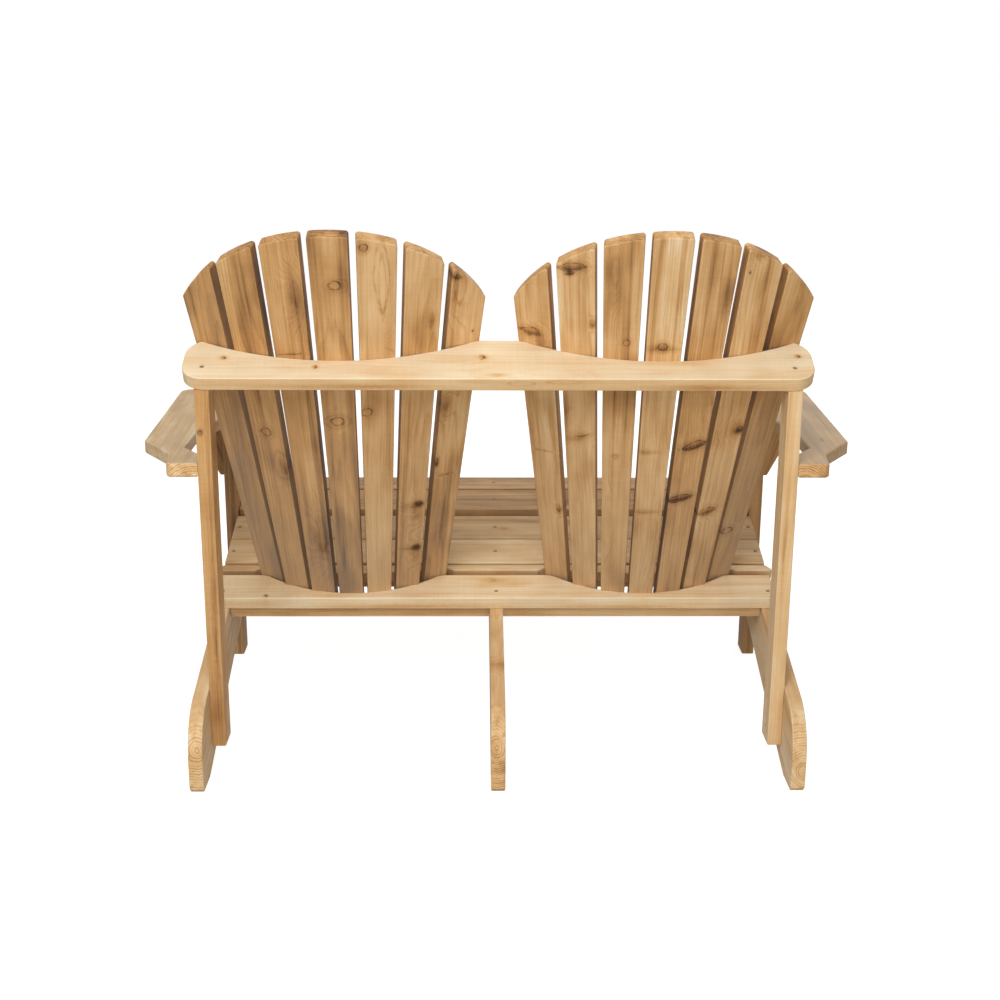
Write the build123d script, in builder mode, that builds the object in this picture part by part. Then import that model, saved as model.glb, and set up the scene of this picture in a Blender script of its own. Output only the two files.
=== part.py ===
"""Adirondack loveseat in natural cedar: two fan backs on three skids, with shared rails and two arms.

Frame: millimetres, +Z up, the seat faces -Y, origin on the floor under the middle of the loveseat.
Lengths named "ahead" are measured along the floor from the rear ends of the feet towards the front.
Lengths named "along" are measured up the sloping top edge of the skids from their rear ends.
"""

import os
from math import cos, radians, sin, sqrt, tan

from build123d import *

os.makedirs("parts", exist_ok=True)

# Stock
board = 25.4
seat_board = 22.0
ease = 2.5
clearance = 1.0

# Skids, the sloping runners that carry the seat and end in the rear feet
skid_spacing = 529.0
skid_slope = 14.5
skid_rear_height = 134.0
foot_chamfer = 8.0
foot_flat = 57.0
foot_radius = 95.0
underside_slope = 19.1
underside_height = 217.0
underside_bend_drop = 17.9
nose_setback = 32.0

# Seat slats, from the rear: the shaped one, two on the straight skids, two flatter ones and two on the nose
rear_slat_width = 20.0
rear_slat_lobe = 10.0
rear_slat_lobe_reach = 126.0
rear_slat_overhang = 9.0
rear_slat_clip = 13.0
rear_slat_scoop = 13.0
rear_slat_scoop_radius = 46.0
rear_slat_scoop_shift = 4.0
rear_slat_gap = 20.8
rear_slat_front_gap = 7.4
flat_slat_width = 89.0
flat_slat_gap = 3.2
front_gap = 26.0
front_slat_gap = 4.0
front_slat_width = 89.0
front_slat_slopes = (12.0, 0.5)
nose_slat_width = 44.0
nose_slat_slopes = (-35.0, -72.0)

# Cleats under the rear seat slat
seat_cleat_width = 38.0
seat_cleat_lap = 13.0
seat_cleat_scoop_margin = 10.0
seat_cleat_screw_reach = 63.0
seat_cleat_screw_inset = 10.0

# Rear posts and front legs
post_ahead = 96.0
post_depth = 55.0
post_bottom = 45.0
post_height = 701.5
leg_depth = 54.0
leg_setback = 218.8

# Arms
arm_height = 574.5
arm_width = 140.0
arm_front_overhang = 8.0
arm_tongue_width = 54.0
arm_tongue_flare = 9.0
arm_tongue_length = 72.0
arm_tail_length = 166.0
arm_rear_taper = 15.0
arm_notch_length = 61.0
arm_notch_depth = 43.0
arm_waist_length = 102.0
arm_palm_length = 176.0
arm_corner_radius = 24.0
arm_rear_radius = 10.0
arm_ease = 4.0

# Arm brackets, the gussets under the arms
bracket_reach = 82.0
bracket_drop = 149.0
bracket_blunt = 10.0

# Back rails
upper_rail_overhang = 21.7
upper_rail_width = 114.3
upper_rail_tilt = 24.5
upper_rail_web = 52.0
upper_scallop_radius = 515.0
upper_rail_front_radius = 45.0
upper_rail_rear_radius = 38.0
lower_rail_along = 345.5
lower_rail_width = 81.0
lower_rail_web = 17.9
lower_scallop_radius = 262.0
lower_scallop_blend = 35.0
cleat_width = 40.0
cleat_setback = 11.0

# Fan backs
fan_spacing = 280.0
slats_per_fan = 7
slat_pitch_low = 53.6
slat_pitch_high = 71.9
slat_width_low = 45.6
slat_width_high = 60.6
slat_turn = 6.0
slat_inlet = 1.0
slat_tail = 37.0
slat_rise = 250.0
fan_top_radius = 312.0
slat_corner_radius = 5.0

# Screws
screw_diameter = 4.5
screw_head_diameter = 9.0
screw_head_height = 3.6
screw_sink = 0.6
screw_tip = 5.0
screw_fit = 0.15
seat_screw_length = 48.0
slat_screw_length = 38.0
rail_screw_length = 60.0
frame_screw_length = 45.0
arm_screw_length = 60.0
rail_screw_inset = 34.0
lower_rail_screw_inset = 25.0
leg_screw_drops = (21.0, 66.0)
post_screw_drops = (36.0, 94.0)
bracket_screw_drops = (30.0, 94.0)
cleat_screw_inset = 50.0

# Places that follow from the sizes above
skid_inner = skid_spacing - board / 2
skid_outer = skid_spacing + board / 2
arm_underside = arm_height - board
rear_slat_front = lower_rail_along + lower_rail_width + rear_slat_gap + rear_slat_width
flat_slat_start = rear_slat_front + rear_slat_front_gap
front_slats = [(front_slat_width, slope) for slope in front_slat_slopes]
front_slats += [(nose_slat_width, slope) for slope in nose_slat_slopes]


def step(point, length, slope):
    """Move a point (ahead, height) by a length along a slope given in degrees."""
    return (point[0] + length * cos(radians(slope)), point[1] + length * sin(radians(slope)))


def along_skid(length):
    """A point (ahead, height) on the straight top edge of a skid."""
    return step((0.0, skid_rear_height), length, skid_slope)


# Facets of the skids' front ends, one for each front slat, with the slat's middle, width and slope
flat_slats_end = flat_slat_start + 2 * flat_slat_width + flat_slat_gap
facet_start = along_skid(flat_slats_end + front_gap / 2)
facet_corners = [facet_start]
front_places = []
lead = front_gap / 2
for width, slope in front_slats:
    front_places.append((step(facet_corners[-1], lead + width / 2, slope), width, slope))
    facet_corners.append(step(facet_corners[-1], lead + width + front_slat_gap / 2, slope))
    lead = front_slat_gap / 2

# The front face of the lowest front slat is the front of the whole loveseat
last_width, last_slope = front_slats[-1]
last_front_edge = step(front_places[-1][0], last_width / 2, last_slope)
overall_depth = last_front_edge[0] + seat_board * sin(radians(-last_slope))
leg_ahead = overall_depth - leg_setback - leg_depth
arm_front = leg_ahead + leg_depth + arm_front_overhang


def y_at(ahead):
    """Model Y of a place measured from the rear ends of the feet."""
    return overall_depth / 2 - ahead


def at(point):
    """Model (Y, Z) of a point (ahead, height)."""
    return (y_at(point[0]), point[1])


def sloped(point, slope):
    """Plane on a sloping face: X to the right, Y down to the rear, Z off the face."""
    return Plane(
        origin=(0, y_at(point[0]), point[1]),
        x_dir=(1, 0, 0),
        z_dir=(0, sin(radians(slope)), cos(radians(slope))),
    )


# Upper and lower rail planes, each on the rail's underside along its rear edge
upper_rail_plane = sloped((post_ahead, post_height), upper_rail_tilt)
lower_rail_plane = sloped(along_skid(lower_rail_along), skid_slope)

# The back leans on the deepest points of the two rails' scallops, halfway through the rails
fan_low = lower_rail_plane.from_local_coords(Vector(0, -lower_rail_web, board / 2))
fan_high = upper_rail_plane.from_local_coords(Vector(0, -upper_rail_web, board / 2))
fan_height = (fan_high - fan_low).length + slat_rise
fan_axis = (fan_high - fan_low).normalized()
fan_front = fan_axis.cross(Vector(-1, 0, 0)).normalized()


def seat_rise(index, pitch, width, radius):
    """How far forward of a scallop's deepest point a slat stands, bearing on its outer half."""
    bearing = abs(index) * pitch + width / 4
    return radius - sqrt(radius**2 - bearing**2) - width / 4 * sin(radians(abs(index) * slat_turn))


def slat_frame(fan_x, index):
    """Plane of a slat's rear face, Y up the slat from the lower rail, and the length between the rails."""
    low_rise = seat_rise(index, slat_pitch_low, slat_width_low, lower_scallop_radius)
    high_rise = seat_rise(index, slat_pitch_high, slat_width_high, upper_scallop_radius)
    low = fan_low + Vector(fan_x + index * slat_pitch_low, 0, 0) + fan_front * low_rise
    high = fan_high + Vector(fan_x + index * slat_pitch_high, 0, 0) + fan_front * high_rise
    axis = (high - low).normalized()
    turn = radians(index * slat_turn)
    facing = fan_front * cos(turn) - Vector(1, 0, 0) * sin(turn)
    facing = (facing - axis * facing.dot(axis)).normalized()
    return Plane(origin=low, x_dir=axis.cross(facing), z_dir=facing), (high - low).length


def screw(length):
    """A countersunk wood screw along -Z, its head just below the plane Z = 0."""
    with BuildPart() as made:
        with BuildSketch(Plane.XZ):
            with BuildLine():
                Polyline(
                    (0, -screw_sink),
                    (screw_head_diameter / 2, -screw_sink),
                    (screw_diameter / 2, -screw_sink - screw_head_height),
                    (screw_diameter / 2, -length + screw_tip),
                    (0, -length),
                    close=True,
                )
            make_face()
        revolve(axis=Axis.Z)
    return made.part


def screw_hole(length):
    """The countersunk hole of such a screw, open above the face that it is drilled into."""
    hole_radius = screw_diameter / 2 + screw_fit
    with BuildPart() as made:
        with BuildSketch(Plane.XZ):
            with BuildLine():
                Polyline(
                    (0, board),
                    (screw_head_diameter / 2, board),
                    (screw_head_diameter / 2, -screw_sink),
                    (hole_radius, -screw_sink - screw_head_height),
                    (hole_radius, -length - screw_fit),
                    (0, -length - screw_fit),
                    close=True,
                )
            make_face()
        revolve(axis=Axis.Z)
    return made.part


def drill(places, length):
    """Cut the holes of screws at these places out of the board that is being made."""
    with Locations(*places):
        add(screw_hole(length), mode=Mode.SUBTRACT)


def near_x(places, x):
    """Those of the places that are within a board of a plane across X."""
    return [place for place in places if abs(place.position.X - x) <= 2 * board]


def finish(piece, name):
    """Name a finished piece and write it."""
    piece.part.label = name
    export_step(piece.part, f"parts/{name}.step")


# Screw places, each with Z out of the face that the head sits in
skid_places = (-skid_spacing, 0.0, skid_spacing)


def slat_top_places(point, slope, thickness):
    """Screw places over the three skids, on top of a board centred at a point of the skids' top edge."""
    plane = sloped(point, slope).offset(thickness)
    return [plane.location * Location((x, 0, 0)) for x in skid_places]


flat_slat_pitch = flat_slat_width + flat_slat_gap
flat_slat_middle = flat_slat_start + flat_slat_width / 2
flat_slat_centres = [along_skid(flat_slat_middle + row * flat_slat_pitch) for row in range(2)]
seat_places = [(centre, skid_slope) for centre in flat_slat_centres]
seat_places += [(centre, slope) for centre, width, slope in front_places]
seat_screw_rows = [slat_top_places(centre, slope, seat_board) for centre, slope in seat_places]

lower_rail_screws = [
    lower_rail_plane.location * Location((x, -lower_rail_screw_inset, board)) for x in skid_places
]
post_middle = skid_inner - board / 2
upper_rail_screws = [
    upper_rail_plane.location * Location((side * post_middle, -rail_screw_inset, board)) for side in (-1, 1)
]

slat_indices = [row - slats_per_fan // 2 for row in range(slats_per_fan)]
fans = {"left": -fan_spacing, "right": fan_spacing}
slat_frames = {fan: [slat_frame(x, index) for index in slat_indices] for fan, x in fans.items()}
every_slat_frame = slat_frames["left"] + slat_frames["right"]
slat_low_screws = [plane.location * Location((0, 0, board)) for plane, reach in every_slat_frame]
slat_high_screws = [plane.location * Location((0, reach, board)) for plane, reach in every_slat_frame]


def sideways_place(x, ahead, height, outward):
    """A screw place on a face across X, with the head facing outward (1 for +X, -1 for -X)."""
    return Location(Plane(origin=(x, y_at(ahead), height), x_dir=(0, outward, 0), z_dir=(outward, 0, 0)))


leg_middle = leg_ahead + leg_depth / 2
post_centre = post_ahead + post_depth / 2
skid_top_at_post = skid_rear_height + post_centre * tan(radians(skid_slope))
tongue_screw_spots = (post_ahead + post_depth / 4, post_ahead + 3 * post_depth / 4)
leg_screws, post_screws, tongue_screws, bracket_screws, arm_screws = [], [], [], [], []
for side in (-1, 1):
    for drop in leg_screw_drops:
        height = facet_start[1] - drop
        leg_screws.append(sideways_place(side * (skid_outer + board), leg_middle, height, side))
    for drop in post_screw_drops:
        height = skid_top_at_post - drop
        post_screws.append(sideways_place(side * (skid_inner - board), post_centre, height, -side))
    for ahead in tongue_screw_spots:
        height = arm_underside + board / 2
        tongue_screws.append(sideways_place(side * (skid_inner - board), ahead, height, -side))
    for drop in bracket_screw_drops:
        bracket_screws.append(sideways_place(side * skid_outer, leg_middle, arm_underside - drop, -side))
    for ahead in (leg_ahead + leg_depth / 4, leg_ahead + 3 * leg_depth / 4):
        arm_screws.append(Location((side * (skid_outer + board / 2), y_at(ahead), arm_height)))
    bracket_x = side * (skid_outer + board + bracket_reach / 2)
    arm_screws.append(Location((bracket_x, y_at(leg_middle), arm_height)))

cleat_underside = lower_rail_plane.offset(-board).location * Location((0, 0, 0), (180, 0, 0))
cleat_middle = cleat_setback + cleat_width / 2
cleat_screw_spots = (board / 2 + cleat_screw_inset, skid_inner - cleat_screw_inset)
cleat_screws = [
    cleat_underside * Location((side * x, cleat_middle, 0)) for side in (-1, 1) for x in cleat_screw_spots
]

# Screws up through the seat cleats, into the rear slat and the slat before it
rear_slat_plane = sloped(along_skid(rear_slat_front), skid_slope)
seat_cleat_underside = rear_slat_plane.offset(-seat_board).location * Location((0, 0, 0), (180, 0, 0))
seat_cleat_rows = (-seat_cleat_lap / 2, rear_slat_front_gap + seat_cleat_screw_inset)
seat_cleat_screws = [
    seat_cleat_underside * Location((side * fan_spacing + way * seat_cleat_screw_reach, row, 0))
    for side in (-1, 1)
    for way in (-1, 1)
    for row in seat_cleat_rows
]

# Skids
bend_height = underside_height - underside_bend_drop
underside_run = bend_height / tan(radians(underside_slope))
underside_bend = (foot_chamfer + foot_flat + underside_run, bend_height)
bend_run = underside_bend_drop / tan(radians(underside_slope / 2))
underside_level = (underside_bend[0] + bend_run, underside_height)
nose_top = facet_corners[-1]
nose_bottom = (nose_top[0] - nose_setback, underside_height)
skid_mids = {"skid_left": -skid_spacing, "skid_centre": 0.0, "skid_right": skid_spacing}
for name, middle in skid_mids.items():
    with BuildPart() as skid:
        with BuildSketch(Plane.YZ.offset(middle - board / 2)) as profile:
            with BuildLine():
                Polyline(at((foot_chamfer, 0)), at((foot_chamfer + foot_flat, 0)), at(underside_bend))
                TangentArc(
                    at(underside_bend),
                    at(underside_level),
                    tangent=(-cos(radians(underside_slope)), sin(radians(underside_slope))),
                )
                Line(at(underside_level), at(nose_bottom))
                TangentArc(at(nose_bottom), at(nose_top), tangent=(-1, 0))
                Polyline(*[at(corner) for corner in reversed(facet_corners)], at((0, skid_rear_height)))
                Polyline(at((0, skid_rear_height)), at((0, foot_chamfer)), at((foot_chamfer, 0)))
            make_face()
            heel = at((0, skid_rear_height))
            fillet(profile.vertices().sort_by_distance(heel)[0], foot_radius)
        extrude(amount=board)
        fillet(skid.edges().filter_by(Axis.X, reverse=True), ease)
        for row in seat_screw_rows:
            drill(near_x(row, middle), seat_screw_length)
        drill(near_x(lower_rail_screws, middle), rail_screw_length)
        drill(near_x(leg_screws + post_screws, middle), frame_screw_length)
    finish(skid, name)

# Straight seat slats, numbered from the rear, where the shaped rear slat is the first
slat_length = 2 * (skid_outer - clearance)
straight_slats = [(centre, flat_slat_width, skid_slope) for centre in flat_slat_centres] + front_places
for number, (centre, width, slope) in enumerate(straight_slats, start=2):
    with BuildPart() as seat_slat:
        with BuildSketch(sloped(centre, slope)):
            Rectangle(slat_length, width)
        extrude(amount=seat_board)
        fillet(seat_slat.edges(), ease)
        drill(seat_screw_rows[number - 2], seat_screw_length)
        if number == 2:
            drill(seat_cleat_screws, slat_screw_length)
    finish(seat_slat, f"seat_slat_{number}")

# Rear seat slat: clipped front corners, a lobe behind each fan and scoops that clear the outer slats
rear_slat_half = skid_outer + rear_slat_overhang
scoop_reach = slats_per_fan // 2 * slat_pitch_low + rear_slat_scoop_shift
scoop_middle = rear_slat_width - rear_slat_scoop + rear_slat_scoop_radius
with BuildPart() as rear_seat_slat:
    with BuildSketch(rear_slat_plane):
        with BuildLine():
            Polyline(
                (-rear_slat_half, rear_slat_clip),
                (-rear_slat_half + rear_slat_overhang, 0),
                (rear_slat_half - rear_slat_overhang, 0),
                (rear_slat_half, rear_slat_clip),
                (rear_slat_half, rear_slat_width),
                (-rear_slat_half, rear_slat_width),
                close=True,
            )
        make_face()
        for x in fans.values():
            with BuildLine():
                lobe_ends = [(x + side * rear_slat_lobe_reach, rear_slat_width) for side in (-1, 1)]
                ThreePointArc(lobe_ends[0], (x, rear_slat_width + rear_slat_lobe), lobe_ends[1])
                Line(*lobe_ends)
            make_face()
            with Locations((x - scoop_reach, scoop_middle), (x + scoop_reach, scoop_middle)):
                Circle(rear_slat_scoop_radius, mode=Mode.SUBTRACT)
    extrude(amount=seat_board)
    fillet(rear_seat_slat.edges(), ease)
    drill(seat_cleat_screws, slat_screw_length)
finish(rear_seat_slat, "seat_slat_1")

# Cleats under the rear seat slat, between the skids, scooped wider than the slat round the outer fan slats
seat_cleat_length = skid_inner - board / 2 - 2 * clearance
for side, mark in (("left", -1), ("right", 1)):
    with BuildPart() as seat_cleat:
        with BuildSketch(rear_slat_plane):
            with Locations((mark * (skid_inner + board / 2) / 2, seat_cleat_lap - seat_cleat_width / 2)):
                Rectangle(seat_cleat_length, seat_cleat_width)
            scoop_places = [(mark * fan_spacing + way * scoop_reach, scoop_middle) for way in (-1, 1)]
            with Locations(*scoop_places):
                Circle(rear_slat_scoop_radius + seat_cleat_scoop_margin, mode=Mode.SUBTRACT)
        extrude(amount=-seat_board)
        drill(seat_cleat_screws, slat_screw_length)
    finish(seat_cleat, f"seat_cleat_{side}")


def half_width(height, reach):
    """Half the width of a fan slat at a height above the lower rail."""
    return (slat_width_low + (slat_width_high - slat_width_low) * height / reach) / 2


def crown(middle, x):
    """Height of the circle along a fan's top, seen from a slat where the circle's middle is given."""
    return middle.Y + sqrt(fan_top_radius**2 - (x - middle.X) ** 2)


# Fan slats, tapered, with their tops on one circle for each fan
back_slats = []
for fan, fan_x in fans.items():
    circle_middle = fan_low + Vector(fan_x, 0, 0) + fan_axis * (fan_height - fan_top_radius)
    for number, (plane, reach) in enumerate(slat_frames[fan], start=1):
        middle = plane.to_local_coords(circle_middle)
        left_height = crown(middle, -half_width(fan_height, reach))
        right_height = crown(middle, half_width(fan_height, reach))
        top_left = (-half_width(left_height, reach), left_height)
        top_right = (half_width(right_height, reach), right_height)
        foot_half = half_width(-slat_tail, reach)
        with BuildPart() as back_slat:
            with BuildSketch(plane) as outline:
                with BuildLine():
                    Polyline(top_left, (-foot_half, -slat_tail), (foot_half, -slat_tail), top_right)
                    ThreePointArc(top_right, (0, crown(middle, 0)), top_left)
                make_face()
                fillet(outline.vertices().sort_by(Axis.Y)[-2:], slat_corner_radius)
            extrude(amount=board)
            fillet(back_slat.edges(), ease)
            back_slats.append(back_slat.part)
            drill([plane.location * Location((0, height, board)) for height in (0, reach)], slat_screw_length)
        finish(back_slat, f"back_slat_{fan}_{number}")


def scallop(web, radius):
    """Cut both fans' scallops out of the outline of a rail that is being drawn."""
    with Locations(*[(x, -web - slat_inlet - radius) for x in fans.values()]):
        Circle(radius, mode=Mode.SUBTRACT)


# Upper back rail, on the bevelled tops of the posts, with a flat seat let in for each slat
with BuildPart() as upper_back_rail:
    with BuildSketch(upper_rail_plane) as outline:
        with Locations((0, -upper_rail_width / 2)):
            Rectangle(2 * (skid_inner + upper_rail_overhang), upper_rail_width)
        fillet(outline.vertices().group_by(Axis.Y)[0], upper_rail_front_radius)
        fillet(outline.vertices().group_by(Axis.Y)[-1], upper_rail_rear_radius)
        scallop(upper_rail_web, upper_scallop_radius)
    extrude(amount=board)
    fillet(upper_back_rail.edges(), ease)
    drill(upper_rail_screws, rail_screw_length)
    drill(slat_high_screws, slat_screw_length)
    add(back_slats, mode=Mode.SUBTRACT)
finish(upper_back_rail, "upper_back_rail")

# Lower back rail, flat on the three skids
with BuildPart() as lower_back_rail:
    with BuildSketch(lower_rail_plane) as outline:
        with Locations((0, -lower_rail_width / 2)):
            Rectangle(2 * skid_outer, lower_rail_width)
        scallop(lower_rail_web, lower_scallop_radius)
        scallop_ends = outline.vertices().group_by(Axis.Y)[0].sort_by(Axis.X)[1:-1]
        fillet(scallop_ends, lower_scallop_blend)
    extrude(amount=board)
    fillet(lower_back_rail.edges(), ease)
    drill(lower_rail_screws, rail_screw_length)
    drill(slat_low_screws, slat_screw_length)
    drill(cleat_screws, frame_screw_length)
    add(back_slats, mode=Mode.SUBTRACT)
finish(lower_back_rail, "lower_back_rail")

# Cleats under the lower rail, between the skids
cleat_length = skid_inner - board / 2 - 2 * clearance
for side, mark in (("left", -1), ("right", 1)):
    with BuildPart() as rail_cleat:
        with BuildSketch(lower_rail_plane):
            with Locations((mark * (skid_inner + board / 2) / 2, -cleat_middle)):
                Rectangle(cleat_length, cleat_width)
            scallop(lower_rail_web, lower_scallop_radius)
        extrude(amount=-board)
        drill(cleat_screws, frame_screw_length)
        add(back_slats, mode=Mode.SUBTRACT)
    finish(rail_cleat, f"rail_cleat_{side}")


def finish_pair(piece, name):
    """Write the right-hand piece and its mirror image on the left."""
    finish(piece, f"{name}_right")
    with BuildPart() as mirrored:
        mirror(piece.part, about=Plane.YZ)
    finish(mirrored, f"{name}_left")


# Rear posts, inside the skids and clear of the floor, with tops bevelled for the upper rail
post_front_height = post_height + post_depth * tan(radians(upper_rail_tilt))
with BuildPart() as rear_post:
    with BuildSketch(Plane.YZ.offset(skid_inner - board)):
        with BuildLine():
            Polyline(
                at((post_ahead, post_bottom)),
                at((post_ahead + post_depth, post_bottom)),
                at((post_ahead + post_depth, post_front_height)),
                at((post_ahead, post_height)),
                close=True,
            )
        make_face()
    extrude(amount=board)
    fillet(rear_post.edges().filter_by(Axis.Z), ease)
    fillet(rear_post.faces().sort_by(Axis.Z)[0].edges(), ease)
    drill(upper_rail_screws, rail_screw_length)
    drill(post_screws, frame_screw_length)
    drill(tongue_screws, arm_screw_length)
finish_pair(rear_post, "rear_post")

# Front legs, outside the skids
with BuildPart() as front_leg:
    with BuildSketch():
        with Locations((skid_outer + board / 2, y_at(leg_middle))):
            Rectangle(board, leg_depth)
    extrude(amount=arm_underside)
    fillet(front_leg.edges().filter_by(Axis.Z), ease)
    fillet(front_leg.faces().sort_by(Axis.Z)[0].edges(), ease)
    drill(leg_screws, frame_screw_length)
    drill(bracket_screws + arm_screws, arm_screw_length)
finish_pair(front_leg, "front_leg")

# Arms: a tongue beside the post, a notch in front of it, a waist and a wide palm over the leg
arm_inner = skid_inner
arm_outer = skid_inner + arm_width
post_front = post_ahead + post_depth
arm_rear_outer = (arm_outer - arm_rear_taper, y_at(post_ahead + arm_tail_length))
tongue_outer = (arm_inner + arm_tongue_width, y_at(post_ahead))
notch_corner = (arm_inner + arm_notch_depth, y_at(post_front + arm_notch_length))
waist_end = (notch_corner[0], notch_corner[1] - arm_waist_length)
palm_start = (arm_inner, y_at(arm_front - arm_palm_length))
with BuildPart() as arm:
    with BuildSketch(Plane.XY.offset(arm_underside)) as outline:
        with BuildLine():
            Polyline(
                palm_start,
                (arm_inner, y_at(arm_front)),
                (arm_outer, y_at(arm_front)),
                arm_rear_outer,
                (tongue_outer[0] + arm_tongue_flare, y_at(post_ahead + arm_tongue_length)),
                tongue_outer,
                (arm_inner, y_at(post_ahead)),
                (arm_inner, y_at(post_front)),
                notch_corner,
                waist_end,
            )
            Spline(waist_end, palm_start, tangents=((0, -1), (0, -1)))
        make_face()
        fillet(outline.vertices().group_by(Axis.Y)[0], arm_corner_radius)
        fillet(outline.vertices().sort_by_distance(arm_rear_outer)[0], arm_rear_radius)
        fillet(outline.vertices().sort_by_distance(tongue_outer)[0], arm_rear_radius)
    extrude(amount=board)
    fillet(arm.faces().filter_by(Axis.Z).edges(), arm_ease)
    drill(arm_screws, arm_screw_length)
    drill(tongue_screws, arm_screw_length)
finish_pair(arm, "arm")

# Arm brackets, on the outer faces of the legs
bracket_inner = skid_outer + board
with BuildPart() as arm_bracket:
    with BuildSketch(Plane.XZ.offset(-y_at(leg_middle) - board / 2)):
        with BuildLine():
            Polyline(
                (bracket_inner, arm_underside),
                (bracket_inner + bracket_reach, arm_underside),
                (bracket_inner + bracket_reach, arm_underside - bracket_blunt),
                (bracket_inner + bracket_blunt, arm_underside - bracket_drop),
                (bracket_inner, arm_underside - bracket_drop),
                close=True,
            )
        make_face()
    extrude(amount=board)
    fillet(arm_bracket.edges(), ease)
    drill(bracket_screws + arm_screws, arm_screw_length)
finish_pair(arm_bracket, "arm_bracket")

# Screws, each group one node of separate screws
screw_groups = {
    "seat_slat_screws": (sum(seat_screw_rows, []), seat_screw_length),
    "seat_cleat_screws": (seat_cleat_screws, slat_screw_length),
    "back_slat_lower_screws": (slat_low_screws, slat_screw_length),
    "back_slat_upper_screws": (slat_high_screws, slat_screw_length),
    "lower_rail_screws": (lower_rail_screws, rail_screw_length),
    "upper_rail_screws": (upper_rail_screws, rail_screw_length),
    "rail_cleat_screws": (cleat_screws, frame_screw_length),
    "front_leg_screws": (leg_screws, frame_screw_length),
    "rear_post_screws": (post_screws, frame_screw_length),
    "arm_screws": (arm_screws, arm_screw_length),
    "arm_tongue_screws": (tongue_screws, arm_screw_length),
    "arm_bracket_screws": (bracket_screws, arm_screw_length),
}
for name, (places, length) in screw_groups.items():
    with BuildPart() as screws:
        with Locations(*places):
            add(screw(length))
    finish(screws, name)
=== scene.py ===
"""Adirondack loveseat in natural cedar, seen from behind in soft studio light."""

import random
from math import cos, pi, radians, sin

import bmesh
import bpy
import numpy as np
from mathutils import Matrix, Vector


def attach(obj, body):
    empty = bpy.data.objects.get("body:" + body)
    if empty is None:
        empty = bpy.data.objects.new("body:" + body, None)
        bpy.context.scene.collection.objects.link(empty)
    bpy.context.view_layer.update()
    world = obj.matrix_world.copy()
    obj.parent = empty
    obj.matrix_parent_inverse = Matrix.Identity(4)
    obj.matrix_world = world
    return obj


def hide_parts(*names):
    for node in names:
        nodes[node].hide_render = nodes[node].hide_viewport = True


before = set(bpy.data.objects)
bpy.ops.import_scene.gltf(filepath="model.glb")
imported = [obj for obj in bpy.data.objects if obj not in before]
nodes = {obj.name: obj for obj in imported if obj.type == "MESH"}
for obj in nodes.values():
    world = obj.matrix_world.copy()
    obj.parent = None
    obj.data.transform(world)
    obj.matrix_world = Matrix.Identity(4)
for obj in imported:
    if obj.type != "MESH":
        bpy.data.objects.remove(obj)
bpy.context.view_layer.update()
scene = bpy.context.scene
scene.view_settings.view_transform = "Standard"

# Camera, as the photograph was taken: from behind, a little above the backs
camera_place = Vector((0.0421, 2.8235, 1.2278))
camera_heading = 178.977
camera_pitch = 16.265
camera_roll = 0.337
camera_lens = 53.44
sensor_width = 36.0

camera_data = bpy.data.cameras.new("camera")
camera_data.lens = camera_lens
camera_data.sensor_width = sensor_width
camera = bpy.data.objects.new("camera", camera_data)
camera.matrix_world = (
    Matrix.Translation(camera_place)
    @ Matrix.Rotation(radians(camera_heading), 4, "Z")
    @ Matrix.Rotation(radians(90 - camera_pitch), 4, "X")
    @ Matrix.Rotation(radians(camera_roll), 4, "Z")
)
scene.collection.objects.link(camera)
scene.camera = camera


def connect(tree, socket, value):
    """Give an input socket another node's output, or a plain value."""
    if isinstance(value, bpy.types.NodeSocket):
        tree.links.new(value, socket)
    else:
        socket.default_value = value


def add_node(tree, kind, inputs=None, **settings):
    """Add a node with its settings, and link or set its inputs by name or number."""
    made = tree.nodes.new(kind)
    for key, value in settings.items():
        setattr(made, key, value)
    for key, value in (inputs or {}).items():
        connect(tree, made.inputs[key], value)
    return made


def maths(tree, operation, *values):
    """Output of a Math node."""
    made = add_node(tree, "ShaderNodeMath", dict(enumerate(values)), operation=operation)
    return made.outputs[0]


def vectors(tree, operation, *values):
    """Output of a Vector Math node."""
    made = add_node(tree, "ShaderNodeVectorMath", dict(enumerate(values)), operation=operation)
    is_number = operation in ("LENGTH", "DOT_PRODUCT", "DISTANCE")
    return made.outputs["Value" if is_number else "Vector"]


def spread(tree, value, start, end, low=0.0, high=1.0):
    """Output of a smooth Map Range node from start and end to low and high."""
    inputs = {"Value": value, "From Min": start, "From Max": end, "To Min": low, "To Max": high}
    made = add_node(tree, "ShaderNodeMapRange", inputs, interpolation_type="SMOOTHSTEP")
    return made.outputs["Result"]


def ramp(tree, factor, stops):
    """Output of a colour ramp with stops of (place, colour)."""
    made = add_node(tree, "ShaderNodeValToRGB", {"Fac": factor})
    elements = made.color_ramp.elements
    while len(elements) < len(stops):
        elements.new(0.5)
    for element, (place, colour) in zip(elements, stops):
        element.position = place
        element.color = (*colour, 1.0)
    return made.outputs["Color"]


def noise(tree, place, stretch, detail, output="Fac"):
    """Output of noise with so many features per metre along, across and through a board."""
    stretched = vectors(tree, "MULTIPLY", place, stretch)
    made = add_node(tree, "ShaderNodeTexNoise", {"Vector": stretched, "Scale": 1.0, "Detail": detail})
    return made.outputs[output]


def centred(tree, value, strength):
    """A value from 0 to 1 turned into one round zero, of this strength."""
    return maths(tree, "MULTIPLY_ADD", value, strength, -strength / 2)


def total(tree, first, *others):
    """Sum of several outputs."""
    for other in others:
        first = maths(tree, "ADD", first, other)
    return first


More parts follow.
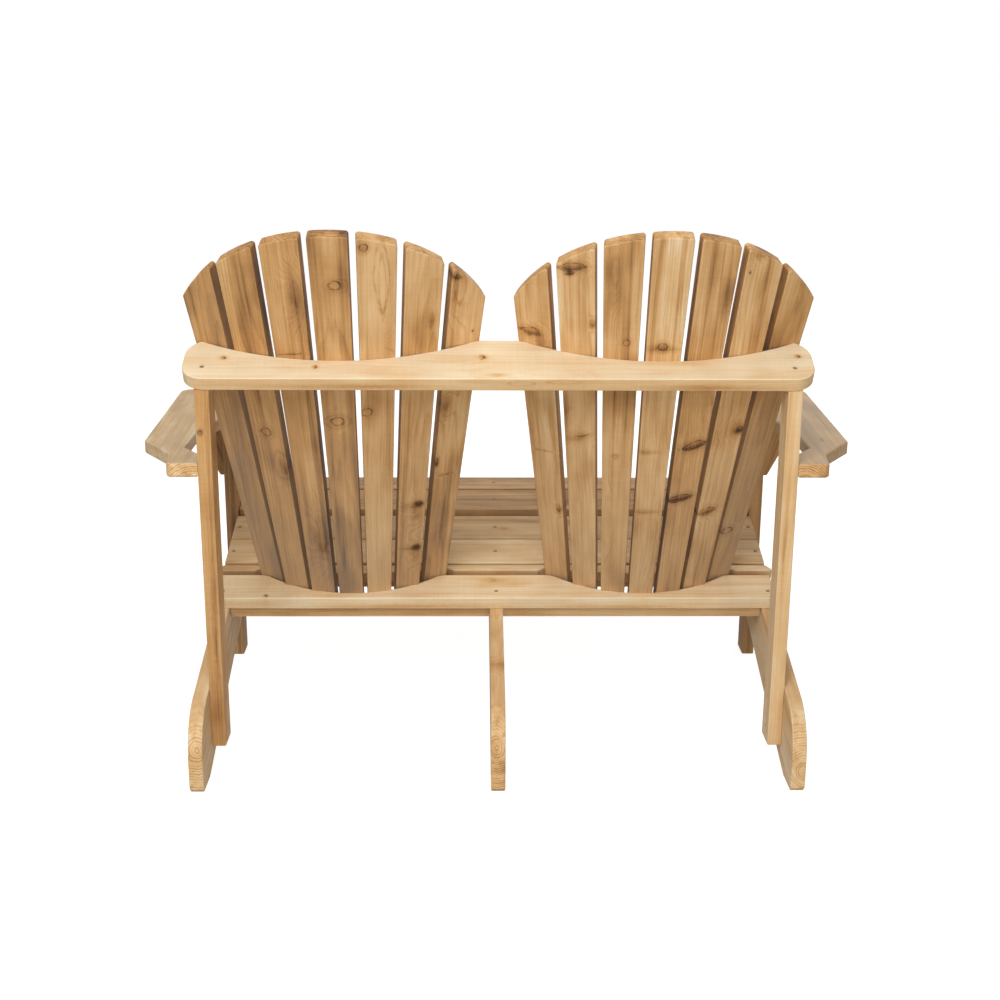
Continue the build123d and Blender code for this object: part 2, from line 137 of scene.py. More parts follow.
# Cedar, from pale sapwood at 0 to brown heartwood and knots at 1
cedar_shades = [
    (0.0, (0.82, 0.69, 0.475)),
    (0.22, (0.71, 0.462, 0.224)),
    (0.48, (0.525, 0.282, 0.103)),
    (0.74, (0.28, 0.138, 0.05)),
    (1.0, (0.075, 0.034, 0.015)),
]

# Weathered cedar: its grey, which also colours the painted shade down the back slats; its share in that
# painted shade; and where blotches and knots let it show
grey_cedar = (0.42, 0.335, 0.236, 1.0)
grey_in_painted_shade = 5.5
grey_patches = (0.25, 0.7, 0.5, 1.0)
grey_round_knots = (0.05, 0.35, 1.0, 0.0)

# Noise in the cedar: features per metre along, across and through a board, and levels of detail
cedar_noises = {
    "wander": ((1.8, 4.0, 4.0), 2.0),
    "ripple": ((9.0, 90.0, 90.0), 3.0),
    "bands": ((0.9, 30.0, 30.0), 2.0),
    "streaks": ((4.0, 120.0, 120.0), 2.0),
    "blotches": ((9.0, 26.0, 26.0), 4.0),
    "stains": ((5.0, 13.0, 13.0), 2.0),
    "dark_streaks": ((1.6, 75.0, 75.0), 2.0),
    "fibres": ((7.0, 380.0, 380.0), 4.0),
    "saw_marks": ((260.0, 12.0, 12.0), 2.0),
}

# How strongly each kind of figure colours the wood, and from where to where in their noise stains show
figure_weights = {
    "bands": 0.34,
    "streaks": 0.26,
    "blotches": 0.44,
    "fibres": 0.22,
    "stains": 0.26,
    "dark_streaks": 0.16,
    "latewood": 0.10,
}
stain_range = (0.52, 0.78)
dark_streak_range = (0.54, 0.74)
saw_mark_weight = 0.06
# Rounded edges are painted paler: partly as sanded wood, partly as a painted highlight where they catch the
# light
eased_sanding_and_highlight = -0.14
end_ring_weight = 0.26
end_weight = 0.06

# Growth rings: how far they wander in metres and ripple in rings, and a year's late wood
ring_wander = Vector((0.0, 0.04, 0.04))
ring_ripple = 1.4
latewood_rise = (0.2, 0.85)
latewood_end = (0.88, 1.0)
year_contrast = 0.8

# How squarely a face looks along or across its board to be end grain or a narrow face
end_facing = (0.45, 0.9)
edge_facing = (0.6, 0.95)

# Sheen and relief
cedar_roughness = 0.66
roughness_change = 0.2
fibre_relief = 0.6
latewood_relief = 0.4


def new_group(name, inputs, outputs):
    """An empty node group with these sockets, and its input and output nodes."""
    tree = bpy.data.node_groups.new(name, "ShaderNodeTree")
    for way, sockets in (("INPUT", inputs), ("OUTPUT", outputs)):
        for label, kind in sockets.items():
            tree.interface.new_socket(label, in_out=way, socket_type=f"NodeSocket{kind}")
    given = tree.nodes.new("NodeGroupInput").outputs
    made = tree.nodes.new("NodeGroupOutput").inputs
    return tree, given, made


def make_cedar():
    """Solid cedar: growth rings round a pith, fibres along the board, bands, stains and greyed patches,
    with painted shade down the back slats, painted shade and painted light on narrow faces, and rounded
    edges painted paler, partly as sanding and partly as a painted highlight.
    """
    inputs = {"Board": "Vector", "Normal": "Vector", "Pith": "Vector", "Seed": "Float", "Ring": "Float"}
    inputs.update({"Heart and Painted Light": "Float", "Grey": "Float", "Figure": "Float", "Fade": "Float"})
    inputs.update({"Edge Shade": "Float", "Knot": "Float", "Swirl": "Float"})
    outputs = {"Color": "Color", "Roughness": "Float", "Height": "Float"}
    tree, given, made = new_group("cedar", inputs, outputs)

    offset = add_node(tree, "ShaderNodeCombineXYZ", {axis: given["Seed"] for axis in "XYZ"}).outputs[0]
    place = vectors(tree, "ADD", given["Board"], offset)

    wander = noise(tree, place, *cedar_noises["wander"], "Color")
    wander = vectors(tree, "MULTIPLY_ADD", wander, ring_wander, -ring_wander / 2)
    section = vectors(tree, "SUBTRACT", given["Board"], given["Pith"])
    section = vectors(tree, "ADD", vectors(tree, "MULTIPLY", section, (0.0, 1.0, 1.0)), wander)
    lean = add_node(tree, "ShaderNodeSeparateXYZ", {"Vector": given["Pith"]}).outputs["X"]
    along = add_node(tree, "ShaderNodeSeparateXYZ", {"Vector": given["Board"]}).outputs["X"]
    leaning = maths(tree, "MULTIPLY", along, lean)
    reach = total(tree, vectors(tree, "LENGTH", section), leaning, given["Swirl"])
    ripple = centred(tree, noise(tree, place, *cedar_noises["ripple"]), ring_ripple)
    count = maths(tree, "ADD", maths(tree, "DIVIDE", reach, given["Ring"]), ripple)
    phase = maths(tree, "FRACT", count)
    rise = spread(tree, phase, *latewood_rise)
    latewood = maths(tree, "SUBTRACT", rise, spread(tree, phase, *latewood_end))
    number = {"W": maths(tree, "FLOOR", count)}
    year = add_node(tree, "ShaderNodeTexWhiteNoise", number, noise_dimensions="1D").outputs["Value"]
    year = maths(tree, "MULTIPLY_ADD", year, year_contrast, 1.0 - year_contrast)
    latewood = maths(tree, "MULTIPLY", latewood, year)

    bands = noise(tree, place, *cedar_noises["bands"])
    streaks = noise(tree, place, *cedar_noises["streaks"])
    blotches = noise(tree, place, *cedar_noises["blotches"])
    stains = spread(tree, noise(tree, place, *cedar_noises["stains"]), *stain_range)
    dark_streaks = spread(tree, noise(tree, place, *cedar_noises["dark_streaks"]), *dark_streak_range)
    fibres = noise(tree, place, *cedar_noises["fibres"])
    saw_marks = noise(tree, place, *cedar_noises["saw_marks"])
    facing = add_node(tree, "ShaderNodeSeparateXYZ", {"Vector": given["Normal"]}).outputs
    end_grain = spread(tree, maths(tree, "ABSOLUTE", facing["X"]), *end_facing)
    edge = spread(tree, maths(tree, "ABSOLUTE", facing["Y"]), *edge_facing)
    # Rounded edges, painted paler as sanded wood and as a painted highlight
    eased = maths(tree, "ABSOLUTE", maths(tree, "MULTIPLY", facing["Y"], facing["Z"]))

    figure = total(
        tree,
        centred(tree, bands, figure_weights["bands"]),
        centred(tree, streaks, figure_weights["streaks"]),
        centred(tree, blotches, figure_weights["blotches"]),
        centred(tree, fibres, figure_weights["fibres"]),
        maths(tree, "MULTIPLY", stains, figure_weights["stains"]),
        maths(tree, "MULTIPLY", dark_streaks, figure_weights["dark_streaks"]),
        maths(tree, "MULTIPLY", latewood, figure_weights["latewood"]),
    )
    # Painted shade: browner and greyer down the back slats
    painted_shade = maths(tree, "MULTIPLY", along, given["Fade"])
    end_tone = maths(tree, "MULTIPLY_ADD", latewood, end_ring_weight, end_weight)
    tone = total(
        tree,
        given["Heart and Painted Light"],
        painted_shade,
        maths(tree, "MULTIPLY", figure, given["Figure"]),
        centred(tree, saw_marks, saw_mark_weight),
        maths(tree, "MULTIPLY", end_grain, end_tone),
        # Painted shade on narrow faces; a value below zero paints light instead
        maths(tree, "MULTIPLY", edge, given["Edge Shade"]),
        maths(tree, "MULTIPLY", eased, eased_sanding_and_highlight),
        given["Knot"],
    )
    colour = ramp(tree, tone, cedar_shades)
    long_grain = maths(tree, "SUBTRACT", 1.0, end_grain)
    greying = maths(tree, "MULTIPLY", given["Grey"], spread(tree, blotches, *grey_patches))
    greying = maths(tree, "MULTIPLY_ADD", painted_shade, grey_in_painted_shade, greying)
    greying = maths(tree, "MULTIPLY", greying, long_grain)
    greying = maths(tree, "MULTIPLY", greying, spread(tree, given["Knot"], *grey_round_knots))
    shades = {"Factor": greying, "A": colour, "B": grey_cedar}
    weathered = add_node(tree, "ShaderNodeMix", shades, data_type="RGBA")
    connect(tree, made["Color"], weathered.outputs["Result"])
    sheen = total(tree, centred(tree, fibres, roughness_change), centred(tree, blotches, roughness_change))
    connect(tree, made["Roughness"], maths(tree, "ADD", sheen, cedar_roughness))
    raised = maths(tree, "MULTIPLY", latewood, latewood_relief)
    relief = total(tree, maths(tree, "MULTIPLY", fibres, fibre_relief), raised, saw_marks)
    connect(tree, made["Height"], relief)
    return tree


# Parts of a knot by distance from its middle, in shares of its size: start, end and the strength at each
knot_core = (0.5, 0.95, 1.0, 0.0)
knot_rim_start = (0.7, 0.92)
knot_rim_end = (0.96, 1.25)
knot_cloud = (0.6, 2.8, 1.0, 0.0)
knot_bulge = (0.4, 3.0, 1.0, 0.0)
core_one_side = (-0.9, 0.7, 1.0, 0.25)
rim_breaks = (0.35, 0.6, 0.25, 1.0)
ragged_noise = ((90.0, 90.0, 20.0), 3.0)
break_noise = ((70.0, 70.0, 10.0), 2.0)


def make_knot():
    """A knot where a branch was cut across a board, also used for cracks and holes whose dark is painted
    shade: its core, bark rim and cloud, and how it pushes the rings aside.
    """
    inputs = {"Board": "Vector", "Centre": "Vector", "Turn": "Vector", "Size": "Vector"}
    inputs.update({"Core": "Float", "Rim": "Float", "Cloud": "Float", "Eye": "Float"})
    inputs.update({"Push": "Float", "Ragged": "Vector"})
    tree, given, made = new_group("knot", inputs, {"Knot": "Float", "Swirl": "Float"})
    sockets = {"Vector": given["Board"], "Location": given["Centre"]}
    sockets.update({"Rotation": given["Turn"], "Scale": given["Size"]})
    local = add_node(tree, "ShaderNodeMapping", sockets, vector_type="TEXTURE").outputs[0]
    place = vectors(tree, "ADD", given["Board"], given["Centre"])
    ragged = noise(tree, place, *ragged_noise, "Color")
    ragged = vectors(tree, "MULTIPLY", vectors(tree, "SUBTRACT", ragged, (0.5, 0.5, 0.5)), given["Ragged"])
    flat = vectors(tree, "MULTIPLY", local, (1.0, 1.0, 0.0))
    rough = vectors(tree, "ADD", flat, ragged)
    parts = add_node(tree, "ShaderNodeSeparateXYZ", {"Vector": rough}).outputs
    pointed = maths(tree, "MULTIPLY_ADD", parts["Y"], parts["Y"], maths(tree, "ABSOLUTE", parts["X"]))
    shapes = {"Factor": given["Eye"], "A": vectors(tree, "LENGTH", rough), "B": pointed}
    away = add_node(tree, "ShaderNodeMix", shapes).outputs["Result"]
    one_side = spread(tree, parts["X"], *core_one_side)
    core = spread(tree, away, *knot_core)
    rim = maths(tree, "SUBTRACT", spread(tree, away, *knot_rim_start), spread(tree, away, *knot_rim_end))
    breaks = noise(tree, vectors(tree, "SUBTRACT", given["Board"], given["Centre"]), *break_noise)
    rim = maths(tree, "MULTIPLY", rim, spread(tree, breaks, *rim_breaks))
    cloud = spread(tree, away, *knot_cloud)
    shade = total(
        tree,
        maths(tree, "MULTIPLY", maths(tree, "MULTIPLY", core, one_side), given["Core"]),
        maths(tree, "MULTIPLY", rim, given["Rim"]),
        maths(tree, "MULTIPLY", cloud, given["Cloud"]),
    )
    connect(tree, made["Knot"], shade)
    bulge = spread(tree, vectors(tree, "LENGTH", flat), *knot_bulge)
    connect(tree, made["Swirl"], maths(tree, "MULTIPLY", bulge, given["Push"]))
    return tree


cedar = make_cedar()
knot = make_knot()

# How dark the core, the rim and the cloud of each kind of mark are, how pointed its outline and how ragged
mark_kinds = {
    "ring": (-0.08, 0.28, 0.10, 0.0, 0.9),
    "bullseye": (0.10, 0.42, 0.20, 0.2, 0.9),
    "dark": (0.44, 0.26, 0.20, 0.3, 0.9),
    "pin": (0.85, 0.40, 0.10, 0.0, 0.9),
    "lens": (0.46, 0.32, 0.18, 1.0, 0.9),
    "smudge": (0.16, 0.05, 0.12, 0.5, 0.9),
    # A crack's dark line is painted shade, for the shade down inside it
    "crack": (0.34, 0.06, 0.04, 1.0, 0.9),
    "flame": (0.0, 0.16, 0.02, 0.7, 0.25),
    # A hole's dark is painted shade, for the shade inside it
    "hole": (0.80, 0.25, 0.05, 0.0, 0.9),
    "loop": (0.0, 0.0, 0.0, 0.0, 0.9),
}

# Marks in the boards: kind, place along and across, half length and half width, in millimetres,
# and turn in degrees
board_marks = {
    "back_slat_right_6": [("ring", 11, 1, 8, 9, 0), ("smudge", -65, -22, 25, 8, 0)],
    "back_slat_right_5": [
        ("crack", 171, 2, 2.5, 24, 4),
        ("smudge", 285, -18, 30, 11, 0),
        ("smudge", -245, -10, 50, 13, 0),
    ],
    "back_slat_right_4": [("ring", 303, -7, 8, 10, 0), ("ring", 27, 2, 9, 12, 6)],
    "back_slat_right_3": [
        ("bullseye", 377, 21, 7, 7, 0),
        ("ring", 50, 19, 8, 9, 0),
        ("flame", 305, -9, 62, 7, 1),
        ("flame", 325, -8, 70, 14, 1),
        ("loop", 285, -8, 60, 8, 2),
    ],
    "back_slat_right_2": [
        ("smudge", 245, -18, 9, 3, 0),
        ("dark", -157, -13, 5, 7, 10),
        ("smudge", -161, -6, 8, 20, 8),
        ("smudge", -180, -11, 20, 9, 0),
        ("dark", -265, -12, 5, 6, 0),
        ("smudge", -267, -4, 6, 18, 0),
        ("smudge", -282, -11, 18, 8, 0),
    ],
    "back_slat_right_1": [
        ("dark", 354, 23, 5, 10, -20),
        ("flame", 335, 14, 36, 11, 4),
        ("smudge", 325, 22, 30, 4, 0),
        ("hole", 241, -18, 3, 2.5, 0),
        ("smudge", 86, 17, 16, 9, 0),
        ("dark", -46, 23, 9, 3, 0),
        ("crack", -77, 5, 2.5, 12, 8),
    ],
    "back_slat_left_7": [
        ("lens", 241, 8, 9, 18, -12),
        ("smudge", 223, -7, 14, 7, 0),
        ("crack", -21, 3, 2, 20, -4),
        ("dark", -161, -18, 9, 5, 0),
    ],
    "back_slat_left_6": [
        ("lens", 351, 7, 8, 25, 6),
        ("lens", 339, 12, 4, 8, 15),
        ("dark", 242, -26, 8, 4, 0),
        ("smudge", -1, 5, 9, 22, 15),
        ("crack", 4, -4, 3, 17, 18),
        ("smudge", 65, 23, 26, 7, 0),
    ],
    "back_slat_left_5": [
        ("ring", 196, -9, 6, 6, 0),
        ("loop", 340, 4, 38, 9, 0),
        ("ring", -48, 3, 4, 4, 0),
        ("loop", -205, 5, 46, 7, 0),
    ],
    "back_slat_left_4": [
        ("smudge", -40, 13, 4, 16, 0),
        ("smudge", -179, 8, 4, 20, 0),
        ("bullseye", 185, 3, 7, 8, 0),
        ("smudge", 181, 3, 5, 26, 0),
    ],
    "back_slat_left_3": [("lens", -24, -6, 9, 24, 20), ("lens", -146, 6, 8, 25, 15)],
    "back_slat_left_2": [
        ("lens", -173, 8, 9, 19, 22),
        ("dark", 16, -21, 7, 7, 0),
        ("smudge", 16, -14, 12, 14, 0),
        ("smudge", 377, 7, 7, 13, 0),
        ("hole", 344, 23, 3, 2.5, 0),
    ],
    "back_slat_left_1": [("ring", -216, 12, 8, 11, 10)],
    "upper_back_rail": [
        ("pin", 470, -18, 6, 5, 0),
        ("pin", 312, 9, 4, 5, 0),
        ("pin", 28, -21, 7, 6, 0),
        ("pin", -514, -26, 5, 5, 0),
        ("smudge", 5, 30, 12, 4, 0),
    ],
    "lower_back_rail": [("pin", 444, 24, 5, 4, 0), ("smudge", 8, -30, 14, 7, 0)],
    "skid_centre": [("smudge", 252, 66, 12, 5, 0)],
    "seat_slat_3": [("smudge", -17, 7, 12, 5, 0), ("dark", 372, -14, 6, 7, 0)],
    "seat_slat_4": [("ring", -188, 12, 9, 8, 0), ("dark", 431, -20, 6, 5, 0)],
    "seat_slat_5": [("lens", 236, 5, 18, 7, 0), ("ring", -402, -12, 8, 8, 0)],
    "seat_slat_6": [("dark", -96, 3, 6, 6, 0)],
    "arm_right": [("ring", -205, 18, 10, 9, 0)],
    "arm_left": [("smudge", 177, 15, 10, 4, 0), ("dark", -148, -24, 7, 6, 0)],
    "front_leg_left": [("ring", 96, 4, 9, 8, 0)],
    "front_leg_right": [("dark", -142, -6, 7, 6, 0)],
}

# Marks on the boards' narrow faces, placed along and through the board instead
edge_marks = {
    "rear_post_right": [("bullseye", 247, 5, 4, 4, 0), ("smudge", -120, -3, 60, 4, 0)],
    "rear_post_left": [("smudge", 60, 4, 70, 3, 0)],
    "upper_back_rail": [
        ("flame", -37, 3, 24, 5, 0),
        ("flame", -109, 6, 30, 4, 0),
        ("smudge", 260, -4, 80, 4, 0),
        ("smudge", -330, -5, 90, 4, 0),
    ],
    "lower_back_rail": [("smudge", 190, -7, 110, 4, 0), ("smudge", -240, -8, 90, 3, 0)],
}

# How brown each board is, from sapwood at 0 to heartwood at 1, how greyed, and how strong its figure; some
# tones also hold painted shade and painted light, as marked
board_tones_and_painted_light = {
    "back_slat_right_7": (0.51, 0.32, 1.0),
    "back_slat_right_6": (0.46, 0.14, 1.1),
    "back_slat_right_5": (0.50, 0.10, 1.1),
    "back_slat_right_4": (0.50, 0.10, 1.1),
    "back_slat_right_3": (0.32, 0.03, 0.9),
    "back_slat_right_2": (0.37, 0.06, 1.1),
    "back_slat_right_1": (0.38, 0.04, 1.3),
    "back_slat_left_7": (0.33, 0.06, 1.1),
    "back_slat_left_6": (0.28, 0.06, 1.1),
    "back_slat_left_5": (0.34, 0.03, 1.1),
    "back_slat_left_4": (0.29, 0.03, 1.2),
    "back_slat_left_3": (0.43, 0.03, 1.2),
    "back_slat_left_2": (0.34, 0.08, 1.2),
    "back_slat_left_1": (0.42, 0.24, 1.0),
    "upper_back_rail": (0.05, 0.00, 0.5),
    "lower_back_rail": (0.11, 0.00, 0.6),
    # The rail cleats are paler as painted light, against the shade under the lower rail
    "rail_cleat_left": (0.16, 0.10, 1.0),
    "rail_cleat_right": (0.16, 0.10, 1.0),
    "seat_cleat_left": (0.36, 0.10, 1.0),
    "seat_cleat_right": (0.36, 0.10, 1.0),
    "rear_post_right": (0.38, 0.00, 0.9),
    "rear_post_left": (0.13, 0.05, 0.7),
    "arm_right": (0.14, 0.55, 1.2),
    "arm_left": (0.30, 0.75, 0.9),
    "skid_left": (0.12, 0.15, 0.9),
    "skid_centre": (0.18, 0.10, 1.1),
    "skid_right": (0.12, 0.12, 0.9),
    # The front legs and arm brackets are browner as painted shade, for the shade under the arms
    "front_leg_left": (0.45, 0.15, 1.1),
    "front_leg_right": (0.55, 0.15, 1.1),
    "arm_bracket_left": (0.48, 0.10, 1.0),
    "arm_bracket_right": (0.55, 0.10, 1.0),
    "seat_slat_1": (0.20, 0.30, 1.0),
    "seat_slat_2": (0.20, 0.30, 1.0),
    "seat_slat_3": (0.31, 0.40, 1.0),
    # Seat slats 4 and 5 are browner as painted shade, for the shade cast by the backs
    "seat_slat_4": (0.48, 0.35, 1.2),
    "seat_slat_5": (0.46, 0.35, 1.2),
    "seat_slat_6": (0.30, 0.30, 1.1),
    "seat_slat_7": (0.32, 0.30, 1.1),
}

# Painted shade: the slats of the backs are painted browner and greyer towards the seat, standing for the
# shade below the upper rail, by so much of the tone per metre
slat_painted_shade = -0.13

# Painted shade on the narrow faces of boards: how much browner they are than their wide ones, most on the
# back slats' sides in the gaps between slats; the lower rail's narrow faces are painted a little paler, as
# painted light
slat_edge_shade = 0.20
board_edge_shade = 0.07
rail_edge_shade_and_light = {"upper_back_rail": 0.13, "lower_back_rail": -0.02}

# Skids are cut with the pith inside, so that the feet end in round rings: its place across and through,
# in millimetres
skid_piths = {"skid_left": (-22, -7), "skid_centre": (27, 1), "skid_right": (19, -3)}
millimetre = 0.001

# Cuts of the other boards, in metres: how far off the pith lies and leans, and how wide a ring is
pith_depths = (0.025, 0.09)
pith_lean = 0.03
pith_across = 0.06
ring_widths = (0.0028, 0.0048)
seed_span = 50.0

# How far a knot pushes the rings, as a share of its smaller half size
ring_push = 1.6

# Surface of the boards
relief_strength = 0.4
relief_depth = 0.0005
cedar_specular = 0.2


def board_frame(mesh):
    """Matrix from a board's own axes (along, across, through) to the model's, with its middle as origin."""
    mesh.calc_loop_triangles()
    corners = np.empty(len(mesh.vertices) * 3)
    mesh.vertices.foreach_get("co", corners)
    order = np.empty(len(mesh.loop_triangles) * 3, dtype=np.int32)
    mesh.loop_triangles.foreach_get("vertices", order)
    triangles = corners.reshape(-1, 3)[order.reshape(-1, 3)]
    sides = triangles[:, 1:] - triangles[:, :1]
    areas = np.linalg.norm(np.cross(sides[:, 0], sides[:, 1]), axis=1)
    middle = (triangles.mean(axis=1) * areas[:, None]).sum(axis=0) / areas.sum()
    triangles = triangles - middle
    sums = triangles.sum(axis=1)
    moments = np.einsum("t,tci,tcj->ij", areas, triangles, triangles)
    moments += np.einsum("t,ti,tj->ij", areas, sums, sums)
    axes = np.linalg.eigh(moments)[1].T
    along, through = Vector(axes[2]), Vector(axes[0])
    along *= 1 if max(along, key=abs) > 0 else -1
    through *= 1 if max(through, key=abs) > 0 else -1
    turn = Matrix((along, through.cross(along), through)).transposed()
    return Matrix.Translation(Vector(middle)) @ turn.to_4x4()


def pick_pith(name, chance):
    """Lean of the pith along the board, and its place across and through the board, in metres."""
    if name in skid_piths:
        across, through = skid_piths[name]
        return (0.0, across * millimetre, through * millimetre)
    depth = chance.choice((-1, 1)) * chance.uniform(*pith_depths)
    return (chance.uniform(-pith_lean, pith_lean), chance.uniform(-pith_across, pith_across), depth)


def add_marks(tree, name, board):
    """Nodes for a board's marks. Gives their joint shade and swirl."""
    shade, swirl = 0.0, 0.0
    marks = [(False, *mark) for mark in board_marks.get(name, [])]
    marks += [(True, *mark) for mark in edge_marks.get(name, [])]
    for on_edge, kind, along, aside, half_length, half_width, turn in marks:
        core, rim, cloud, eye, ragged = mark_kinds[kind]
        sideways = (0.0, aside) if on_edge else (aside, 0.0)
        inputs = {
            "Board": board,
            "Centre": (along * millimetre, sideways[0] * millimetre, sideways[1] * millimetre),
            "Turn": (pi / 2 if on_edge else 0.0, 0.0, radians(turn)),
            "Size": (half_length * millimetre, half_width * millimetre, 1.0),
            "Core": core,
            "Rim": rim,
            "Cloud": cloud,
            "Eye": eye,
            "Ragged": (ragged, ragged, 0.0),
            "Push": min(half_length, half_width) * ring_push * millimetre,
        }
        made = add_node(tree, "ShaderNodeGroup", node_tree=knot)
        for key, value in inputs.items():
            connect(tree, made.inputs[key], value)
        shade = maths(tree, "ADD", shade, made.outputs["Knot"])
        swirl = maths(tree, "ADD", swirl, made.outputs["Swirl"])
    return shade, swirl


def dress_board(name, seed):
    """Give a board its own cut of cedar."""
    chance = random.Random(seed)
    piece = nodes[name]
    place = board_frame(piece.data)
    turn = place.to_euler()
    heart_and_painted_light, grey, figure = board_tones_and_painted_light[name]
    in_back = name.startswith("back_slat")
    material = bpy.data.materials.new(name)
    material.use_nodes = True
    tree = material.node_tree
    surface = tree.nodes["Principled BSDF"]
    coordinates = add_node(tree, "ShaderNodeTexCoord").outputs
    onto_board = {"Vector": coordinates["Object"], "Location": place.translation, "Rotation": turn}
    board = add_node(tree, "ShaderNodeMapping", onto_board, vector_type="TEXTURE").outputs[0]
    turned = {"Vector": coordinates["Normal"], "Rotation": turn}
    normal = add_node(tree, "ShaderNodeMapping", turned, vector_type="TEXTURE").outputs[0]
    shade, swirl = add_marks(tree, name, board)
    values = {
        "Board": board,
        "Normal": normal,
        "Pith": pick_pith(name, chance),
        "Seed": chance.uniform(0.0, seed_span),
        "Ring": chance.uniform(*ring_widths),
        "Heart and Painted Light": heart_and_painted_light,
        "Grey": grey,
        "Figure": figure,
        "Fade": slat_painted_shade if in_back else 0.0,
        "Edge Shade": slat_edge_shade if in_back else rail_edge_shade_and_light.get(name, board_edge_shade),
        "Knot": shade,
        "Swirl": swirl,
    }
    grain = add_node(tree, "ShaderNodeGroup", node_tree=cedar)
    for key, value in values.items():
        connect(tree, grain.inputs[key], value)
    relief = {"Height": grain.outputs["Height"], "Strength": relief_strength, "Distance": relief_depth}
    bump = add_node(tree, "ShaderNodeBump", relief).outputs[0]
    connect(tree, surface.inputs["Base Color"], grain.outputs["Color"])
    connect(tree, surface.inputs["Roughness"], grain.outputs["Roughness"])
    connect(tree, surface.inputs["Normal"], bump)
    surface.inputs["Specular IOR Level"].default_value = cedar_specular
    piece.data.materials.clear()
    piece.data.materials.append(material)


for seed, name in enumerate(sorted(board_tones_and_painted_light)):
    dress_board(name, seed)

# Bronze coating of the screws: shades and roughness across its mottling
bronze_noise = ((900.0, 900.0, 900.0), 3.0)
bronze_shades = [(0.3, (0.22, 0.15, 0.08)), (0.7, (0.38, 0.27, 0.15))]
bronze_roughness = (0.2, 0.8, 0.4, 0.6)
bronze_metallic = 0.3


def make_bronze():
    """Bronze coating, slightly mottled."""
    material = bpy.data.materials.new("screw_bronze")
    material.use_nodes = True
    tree = material.node_tree
    surface = tree.nodes["Principled BSDF"]
    place = add_node(tree, "ShaderNodeTexCoord").outputs["Object"]
    mottle = noise(tree, place, *bronze_noise)
    connect(tree, surface.inputs["Base Color"], ramp(tree, mottle, bronze_shades))
    connect(tree, surface.inputs["Roughness"], spread(tree, mottle, *bronze_roughness))
    surface.inputs["Metallic"].default_value = bronze_metallic
    return material


bronze = make_bronze()

# Screws, in metres
screw_head_radius = 0.0045
screw_head_height = 0.0036
screw_point = 0.005
screw_rim = 0.0003
countersink_gap = 0.0011
countersink_depth = 0.0012
recess_half = 0.00135
recess_depth = 0.0018
recess_taper = 0.9
screw_sides = 24
weld_distance = 1e-6


def screw_places(mesh):
    """Head centre, direction towards the head and length of each screw in a CAD node of screws."""
    joined = bmesh.new()
    joined.from_mesh(mesh)
    bmesh.ops.remove_doubles(joined, verts=joined.verts, dist=weld_distance)
    left = set(joined.verts)
    places = []
    while left:
        island, border = set(), [left.pop()]
        while border:
            vertex = border.pop()
            island.add(vertex)
            for edge in vertex.link_edges:
                other = edge.other_vert(vertex)
                if other in left:
                    left.remove(other)
                    border.append(other)
        points = [vertex.co.copy() for vertex in island]
        middle = sum(points, Vector()) / len(points)
        tip = max(points, key=lambda point: (point - middle).length)
        outward = (middle - tip).normalized()
        length = max((point - tip).dot(outward) for point in points)
        places.append((tip + outward * length, outward, length))
    joined.free()
    return places


def square_ring(half, height):
    """Corners of a square drive's outline, spread as the round head's corners are."""
    ring = []
    for side in range(screw_sides):
        angle = 2 * pi * side / screw_sides
        reach = half / max(abs(cos(angle)), abs(sin(angle)))
        ring.append((reach * cos(angle), reach * sin(angle), height))
    return ring


def round_ring(radius, height):
    """Corners of a circle round the screw's axis."""
    angles = [2 * pi * side / screw_sides for side in range(screw_sides)]
    return [(radius * cos(angle), radius * sin(angle), height) for angle in angles]


def make_screws(node):
    """Countersunk screws with a square drive, each where the CAD node has one."""
    made = bmesh.new()
    for head, outward, length in screw_places(nodes[node].data):
        rings = [
            square_ring(recess_half * recess_taper, -recess_depth),
            square_ring(recess_half, -screw_rim),
            square_ring(recess_half + screw_rim, 0.0),
            round_ring(screw_head_radius - countersink_gap - screw_rim, 0.0),
            round_ring(screw_head_radius - countersink_gap, -screw_rim),
            round_ring(screw_head_radius - countersink_gap, -countersink_depth),
            round_ring(screw_head_radius / 2, -screw_head_height),
            round_ring(screw_head_radius / 2, -length + screw_point),
        ]
        place = Matrix.Translation(head) @ outward.to_track_quat("Z", "Y").to_matrix().to_4x4()
        corners = [[made.verts.new(place @ Vector(point)) for point in ring] for ring in rings]
        made.faces.new(corners[0])
        tip = made.verts.new(place @ Vector((0.0, 0.0, -length)))
        for side in range(screw_sides):
            after = (side + 1) % screw_sides
            for inner, outer in zip(corners, corners[1:]):
                made.faces.new((inner[side], outer[side], outer[after], inner[after]))
            made.faces.new((corners[-1][side], tip, corners[-1][after]))
    bmesh.ops.recalc_face_normals(made, faces=made.faces)
    mesh = bpy.data.meshes.new(node)
    made.to_mesh(mesh)
    made.free()
    mesh.materials.append(bronze)
    piece = bpy.data.objects.new(f"{node}_driven", mesh)
    scene.collection.objects.link(piece)
    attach(piece, "root")
    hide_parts(node)


for node in sorted(nodes):
    if node.endswith("_screws"):
        make_screws(node)

# Soft square lamps: place and target, size in metres, power in watts
lamps = {
    "key_lamp": ((0.9, 2.9, 2.8), (0.0, 0.2, 0.6), 2.0, 82.0),
    "fill_lamp": ((-0.6, 4.2, 0.8), (0.0, 0.0, 0.3), 2.0, 48.0),
    "top_lamp": ((0.0, 0.0, 3.6), (0.0, 0.0, 0.4), 2.5, 22.0),
    "front_lamp": ((-1.5, -3.6, 2.2), (0.0, 0.0, 0.5), 2.2, 32.0),
}


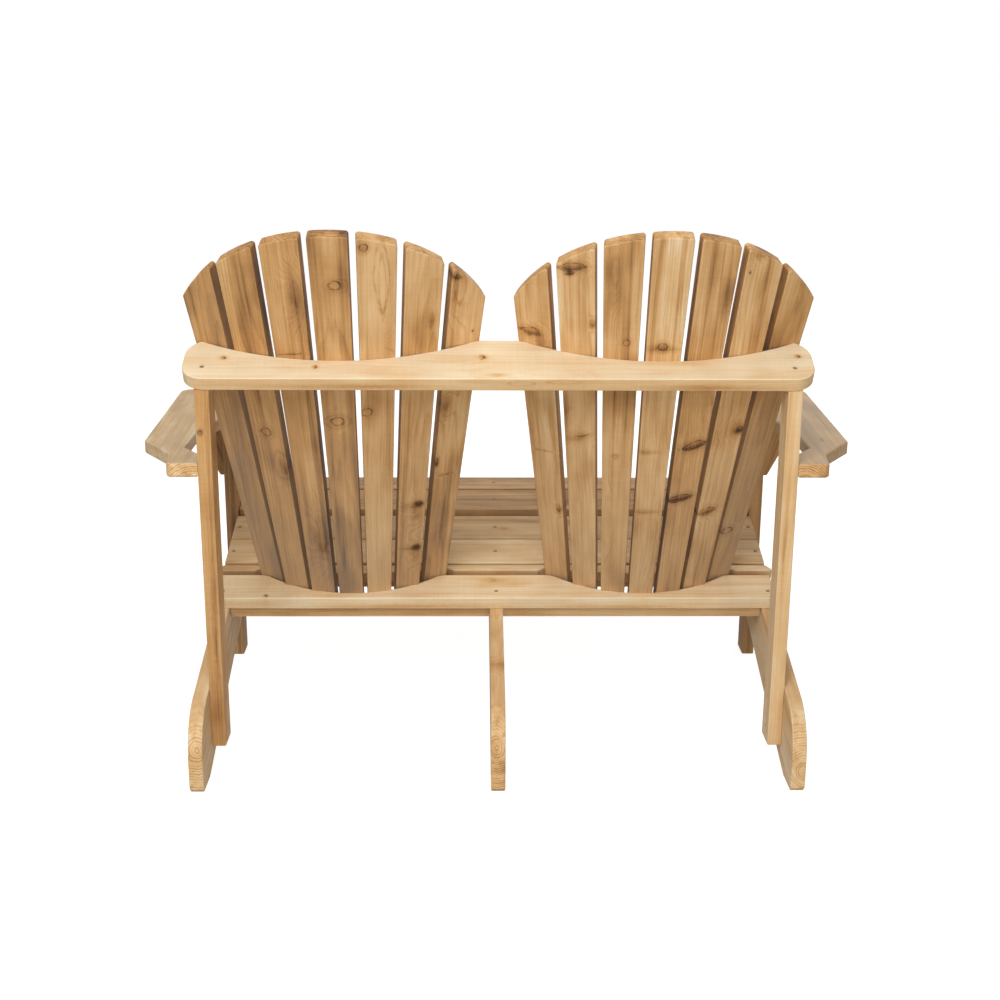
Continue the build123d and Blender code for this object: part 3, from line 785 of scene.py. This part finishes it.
def add_lamp(name, place, target, size, power):
    """A square soft lamp at a place, aimed at a target."""
    data = bpy.data.lights.new(name, "AREA")
    data.size = size
    data.energy = power
    lamp = bpy.data.objects.new(name, data)
    lamp.location = place
    lamp.rotation_euler = (Vector(target) - Vector(place)).to_track_quat("-Z", "Y").to_euler()
    scene.collection.objects.link(lamp)


for name, lamp in lamps.items():
    add_lamp(name, *lamp)


def seen_directly(tree):
    """1 for rays from the camera or by way of metal and glass, 0 for rays that light the object."""
    rays = add_node(tree, "ShaderNodeLightPath").outputs
    seen = maths(tree, "MAXIMUM", rays["Is Camera Ray"], rays["Is Glossy Ray"])
    return maths(tree, "MAXIMUM", seen, rays["Is Transmission Ray"])


# White sky, which looks brighter than the light that it gives
sky_light = 0.3
white = (1.0, 1.0, 1.0, 1.0)
world = bpy.data.worlds.new("studio")
world.use_nodes = True
sky = world.node_tree.nodes["Background"]
sky.inputs["Color"].default_value = white
brightness = spread(world.node_tree, seen_directly(world.node_tree), 0.0, 1.0, sky_light, 1.0)
connect(world.node_tree, sky.inputs["Strength"], brightness)
scene.world = world

# Floor, pale enough to read as white, with the loveseat's soft shadow
floor_half = 30.0
floor_grey = (0.5, 0.5, 0.5, 1.0)
floor_glow = 0.86
floor_corners = [(x * floor_half, y * floor_half, 0.0) for x, y in ((-1, -1), (1, -1), (1, 1), (-1, 1))]
floor_mesh = bpy.data.meshes.new("floor")
floor_mesh.from_pydata(floor_corners, [], [(0, 1, 2, 3)])
floor = bpy.data.objects.new("floor", floor_mesh)
scene.collection.objects.link(floor)
floor_material = bpy.data.materials.new("floor")
floor_material.use_nodes = True
floor_tree = floor_material.node_tree
floor_tree.nodes.remove(floor_tree.nodes["Principled BSDF"])
paint = add_node(floor_tree, "ShaderNodeBsdfDiffuse", {"Color": floor_grey})
glow_strength = maths(floor_tree, "MULTIPLY", seen_directly(floor_tree), floor_glow)
glow = add_node(floor_tree, "ShaderNodeEmission", {"Strength": glow_strength})
both = add_node(floor_tree, "ShaderNodeAddShader", {0: paint.outputs[0], 1: glow.outputs[0]})
connect(floor_tree, floor_tree.nodes["Material Output"].inputs["Surface"], both.outputs[0])
floor_mesh.materials.append(floor_material)
